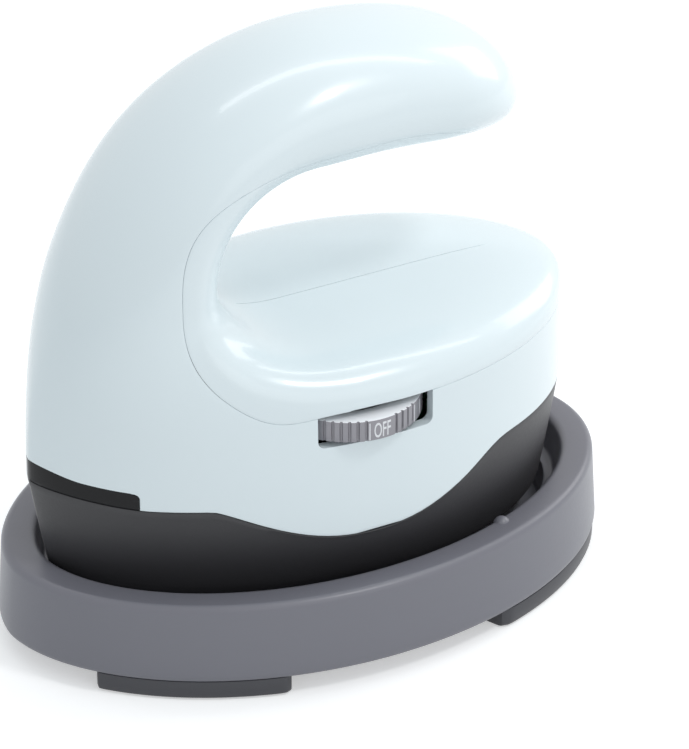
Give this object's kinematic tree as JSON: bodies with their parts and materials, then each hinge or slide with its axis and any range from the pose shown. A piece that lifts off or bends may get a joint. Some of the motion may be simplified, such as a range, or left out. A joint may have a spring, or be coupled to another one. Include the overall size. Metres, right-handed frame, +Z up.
{
  "type": "handheld heat press with safety base",
  "caption": "Small C-handled heat press with a toothed edge dial, a wave-edged shell on a dark housing, and an oval hot plate parked in a rimmed base on rubber feet.",
  "frame": {"origin": "centre of the safety base's footprint, on the surface that the feet stand on", "axes": "+X from the pointed nose to the heel, the dial on the -Y side, +Z up"},
  "size_m": [0.1412, 0.0936, 0.133],
  "materials": {
    "base_gray": "satin",
    "foot_rubber": "satin",
    "silicone": "matte",
    "plate_alloy": "satin",
    "steel": "satin",
    "sensor_glass": "gloss",
    "fuse_can": "satin",
    "fibre": "matte",
    "ceramic": "matte",
    "housing_black": "matte",
    "shell_pale": "gloss",
    "window_black": "gloss",
    "clear": "gloss",
    "board_green": "satin",
    "relay_case": "gloss",
    "terminal_green": "satin",
    "shaft_plastic": "satin",
    "dial_silver": "satin metallic",
    "silicone_white": "matte"
  },
  "bodies": {
    "safety_base": {"base_tray": "base_gray", "rubber_feet": "foot_rubber", "rest_pads": "silicone"},
    "press": {"soleplate": "plate_alloy", "heating_element": "steel", "temperature_sensor": "sensor_glass", "sensor_clip": "steel", "thermal_fuse": "fuse_can", "insulation_pad": "fibre", "heat_shield": "steel", "standoffs": "ceramic", "soleplate_screws": "steel", "lower_housing": "housing_black", "housing_screws": "steel", "handle_shell": "shell_pale", "inner_cover": "shell_pale", "indicator_window": "window_black", "light_guide": "clear", "led_board": "board_green", "indicator_leds": "clear", "led_screws": "steel", "control_board": "board_green", "board_screws": "steel", "relay": "relay_case", "capacitor": "fuse_can", "terminal_block": "terminal_green", "rotary_switch": "housing_black", "heater_leads": "silicone_white", "cord_bushing": "foot_rubber", "cord_clamp": "housing_black", "clamp_screws": "steel"},
    "dial": {"dial_shaft": "shaft_plastic", "temperature_dial": "dial_silver", "dial_screw": "steel"}
  },
  "joints": [
    {"name": "press_lift", "type": "slide", "parent": "safety_base", "child": "press", "axis": [0, 0, 1], "range_m": [0, 0.08]},
    {"name": "dial_turn", "type": "hinge", "parent": "press", "child": "dial", "pos_m": [-0.0008, -0.0235, 0.057], "axis": [0, 0, -1], "range_deg": [0, 135]}
  ]
}
